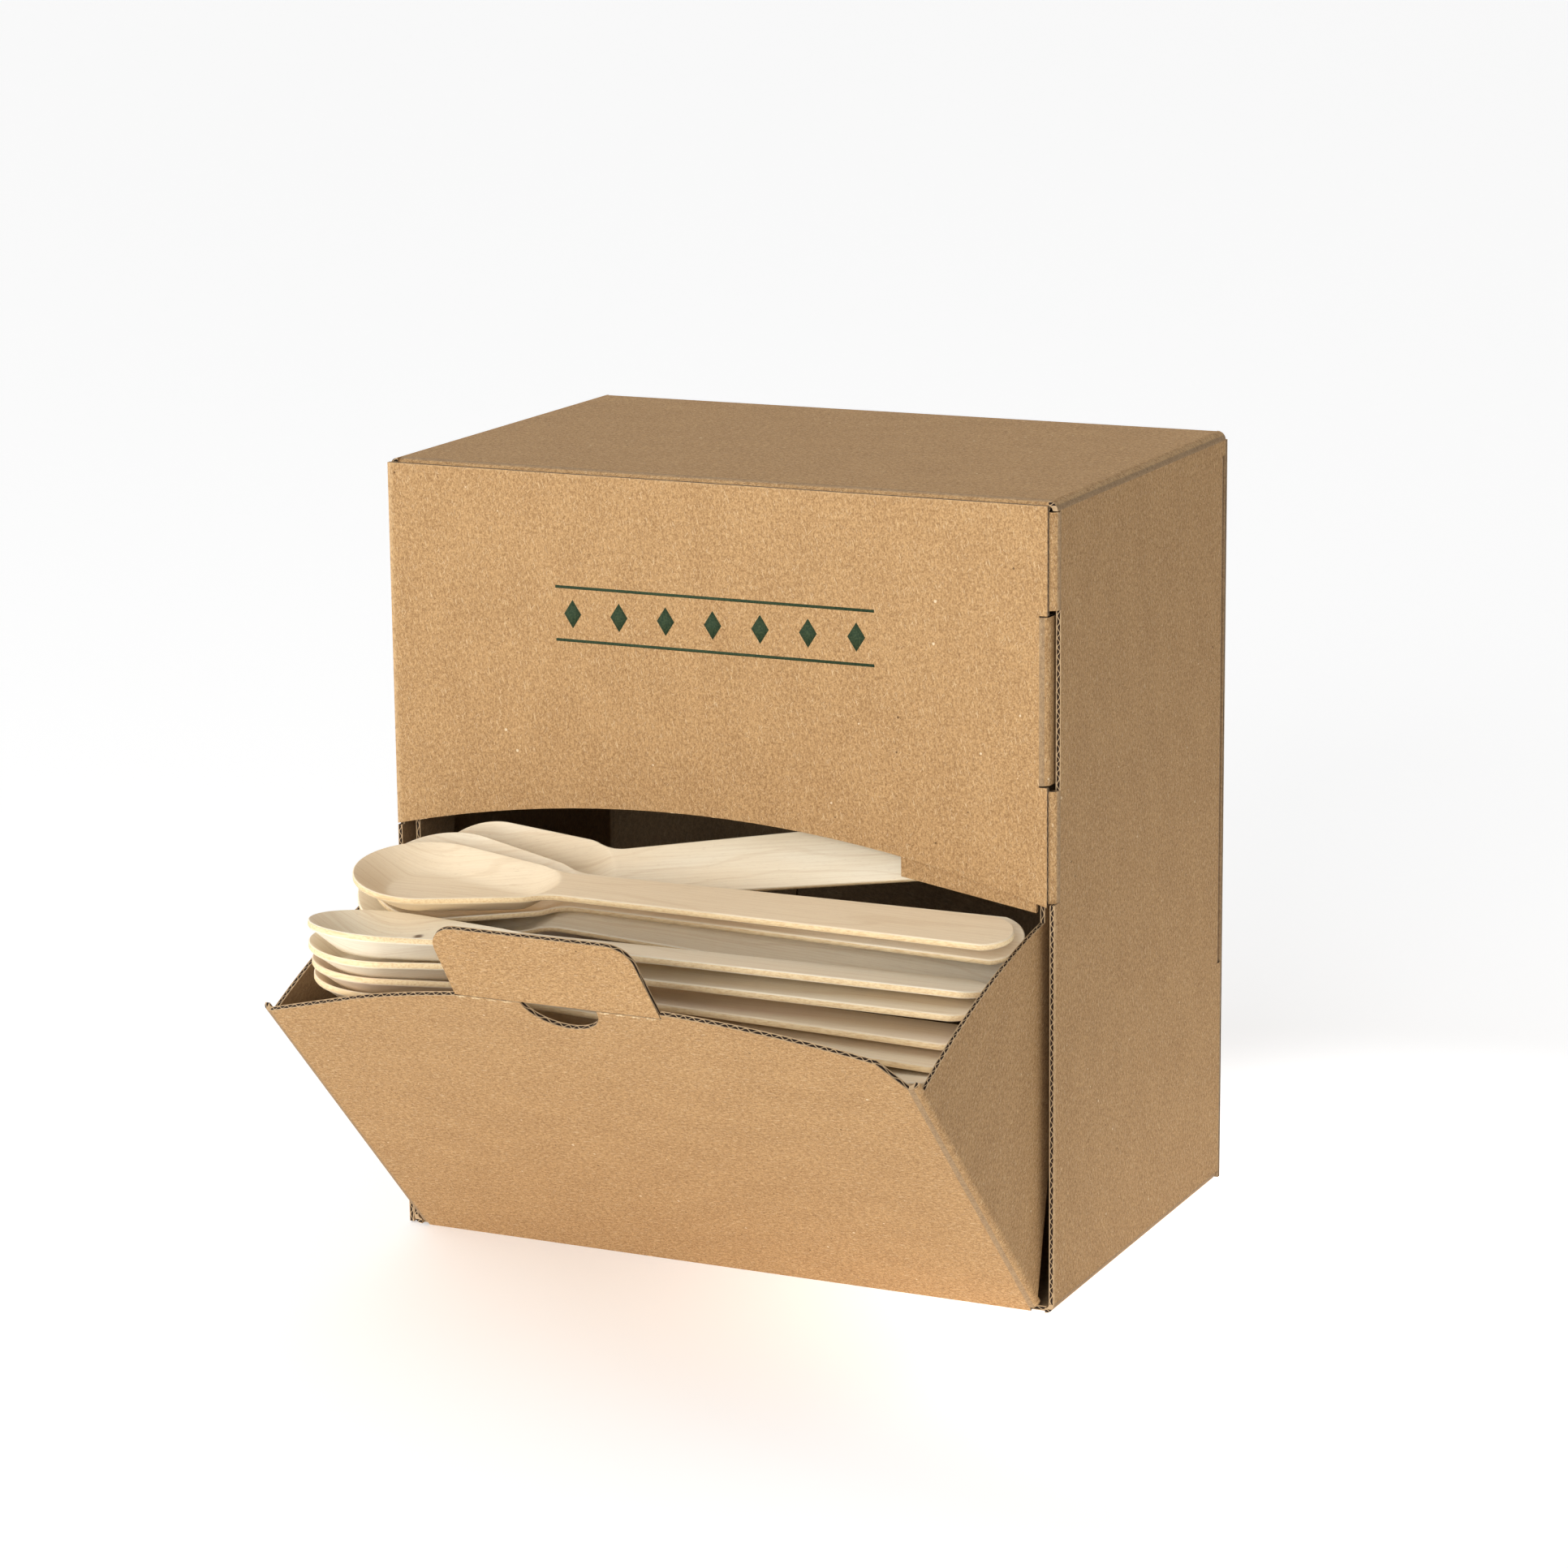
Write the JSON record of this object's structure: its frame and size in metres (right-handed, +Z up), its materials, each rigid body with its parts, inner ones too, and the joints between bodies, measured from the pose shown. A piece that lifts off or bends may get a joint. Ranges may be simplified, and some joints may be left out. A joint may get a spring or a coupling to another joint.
{
  "type": "cutlery dispenser",
  "caption": "Corrugated cardboard countertop dispenser whose lower front tips out as a tray of loose wooden spoons, with a pull tab and finger slot",
  "frame": {"origin": "centre of the carton's rectangular footprint, on the table", "axes": "+Z up, -Y out of the front where the tray tips out, +X to the right seen from the front"},
  "size_m": [0.175, 0.2121, 0.195],
  "materials": {
    "corrugated_board": "uncoated brown kraft liner over fine flutes",
    "birch_veneer": "smooth, unvarnished pressed birch veneer"
  },
  "bodies": {
    "carton": {"back_closing_flap": "corrugated_board", "back_left_dust_flap": "corrugated_board", "back_panel": "corrugated_board", "back_right_dust_flap": "corrugated_board", "bottom_panel": "corrugated_board", "front_return_flap": "corrugated_board", "front_tuck_flap": "corrugated_board", "left_side_panel": "corrugated_board", "right_side_panel": "corrugated_board", "side_seam_flap": "corrugated_board", "top_panel": "corrugated_board"},
    "door": {"front_panel": "corrugated_board", "front_lock_tab": "corrugated_board"},
    "tray": {"tray_panel": "corrugated_board", "tray_left_gusset": "corrugated_board", "tray_right_gusset": "corrugated_board"},
    "tab": {"pull_tab": "corrugated_board"},
    "spoon_heap": {"spoon_fan_1": "birch_veneer", "spoon_fan_2": "birch_veneer", "spoon_fan_3": "birch_veneer", "spoon_fan_4": "birch_veneer", "spoon_inner": "birch_veneer", "spoon_left": "birch_veneer", "spoon_low": "birch_veneer", "spoon_nest_rear": "birch_veneer", "spoon_rear": "birch_veneer", "spoon_reversed": "birch_veneer", "spoon_second": "birch_veneer", "spoon_under": "birch_veneer"},
    "top_spoon": {"spoon_top": "birch_veneer"}
  },
  "joints": [
    {"name": "tray_tip", "type": "hinge", "parent": "carton", "child": "tray", "pos_m": [0, -0.0575, 0], "axis": [-1, 0, 0], "range_deg": [0, 41.5]},
    {"name": "tab_fold", "type": "hinge", "parent": "tray", "child": "tab", "pos_m": [0, -0.14194, 0.08917], "axis": [1, 0, 0], "range_deg": [0, 12]},
    {"name": "heap_push_back", "type": "slide", "parent": "carton", "child": "spoon_heap", "axis": [0, 0.999, -0.0436], "range_m": [0, 0.087]},
    {"name": "top_spoon_draw", "type": "slide", "parent": "spoon_heap", "child": "top_spoon", "axis": [0, -0.9659, 0.2588], "range_m": [0, 0.03]},
    {"name": "front_door", "type": "hinge", "parent": "carton", "child": "door", "pos_m": [-0.0875, -0.0575, 0], "axis": [0, 0, -1], "range_deg": [0, 35]}
  ],
  "couplings": [
    {"joint": "tab_fold", "follows": "tray_tip", "ratio": 0.289},
    {"joint": "heap_push_back", "follows": "tray_tip", "m_per_rad": 0.12}
  ]
}
